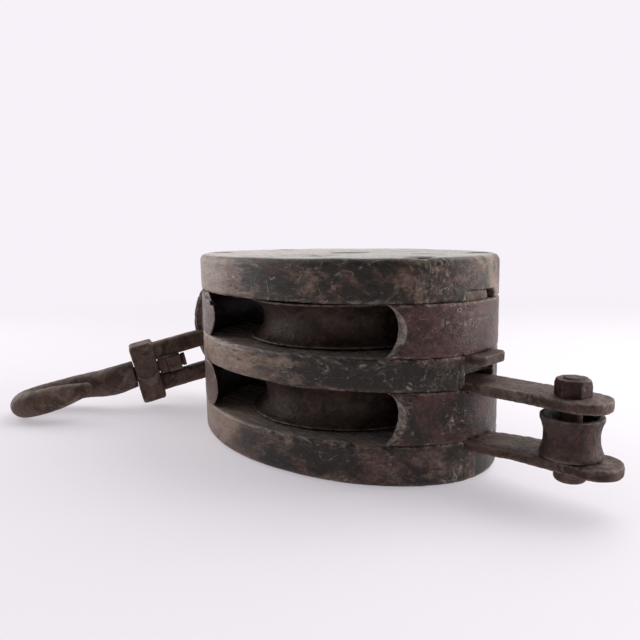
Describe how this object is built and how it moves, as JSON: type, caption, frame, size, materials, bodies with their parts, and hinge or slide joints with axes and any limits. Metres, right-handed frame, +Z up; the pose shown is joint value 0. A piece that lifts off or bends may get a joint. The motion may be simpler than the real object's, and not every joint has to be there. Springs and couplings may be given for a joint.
{
  "type": "double rope block",
  "caption": "Wooden-shelled double rope block with inner iron straps, grooved sheaves, swivelling hook and becket spool, lying on its side.",
  "frame": {"origin": "middle of the bottom cheek's outer face, which lies on the floor", "axes": "+X along the shell towards the becket, the hook end at -X; +Y across the shell; +Z up through the stack of cheeks and sheaves"},
  "size_m": [0.4597, 0.2559, 0.139],
  "materials": {
    "cheek_wood": "weathered, grimy, worn pale at the edges",
    "filler_wood": "weathered end grain, reddish brown",
    "strap_iron": "dark brown rust, pitted",
    "sheave_iron": "dark brown, worn in the groove",
    "bush_brass": "dull, dirty",
    "pin_iron": "dark, rubbed",
    "fastener_iron": "rusted",
    "nut_iron": "reddish rust",
    "spool_iron": "rusted casting",
    "forged_iron": "rusted forging, mottled grey and brown"
  },
  "bodies": {
    "shell": {"top_cheek": "cheek_wood", "middle_plate": "cheek_wood", "bottom_cheek": "cheek_wood", "upper_crown_filler": "filler_wood", "lower_crown_filler": "filler_wood", "upper_tail_filler": "filler_wood", "lower_tail_filler": "filler_wood", "outer_strap": "strap_iron", "inner_strap": "strap_iron", "sheave_pin": "pin_iron", "shell_rivets": "pin_iron", "rivet_rings": "pin_iron", "becket_bolt": "fastener_iron", "becket_nut": "nut_iron"},
    "upper_sheave_body": {"upper_sheave": "sheave_iron", "upper_sheave_bush": "bush_brass"},
    "lower_sheave_body": {"lower_sheave": "sheave_iron", "lower_sheave_bush": "bush_brass"},
    "becket_spool_body": {"becket_spool": "spool_iron"},
    "yoke_body": {"yoke": "forged_iron", "hook_block": "forged_iron"},
    "hook_body": {"hook": "forged_iron"}
  },
  "joints": [
    {"name": "upper_sheave_spin", "type": "hinge", "parent": "shell", "child": "upper_sheave_body", "pos_m": [0.014, 0, 0.0953], "axis": [0, 0, 1], "continuous": true},
    {"name": "lower_sheave_spin", "type": "hinge", "parent": "shell", "child": "lower_sheave_body", "pos_m": [0.014, 0, 0.0423], "axis": [0, 0, 1], "continuous": true},
    {"name": "becket_spool_spin", "type": "hinge", "parent": "shell", "child": "becket_spool_body", "pos_m": [0.184, 0, 0.0411], "axis": [0, 0, 1], "continuous": true},
    {"name": "yoke_swing", "type": "hinge", "parent": "shell", "child": "yoke_body", "pos_m": [-0.1435, 0, 0.05245], "axis": [1, 0, 0], "range_deg": [-45, 0]},
    {"name": "hook_swivel", "type": "hinge", "parent": "yoke_body", "child": "hook_body", "pos_m": [-0.17676, -0.06614, 0.03472], "axis": [-0.4388, -0.8725, -0.2147], "continuous": true}
  ]
}
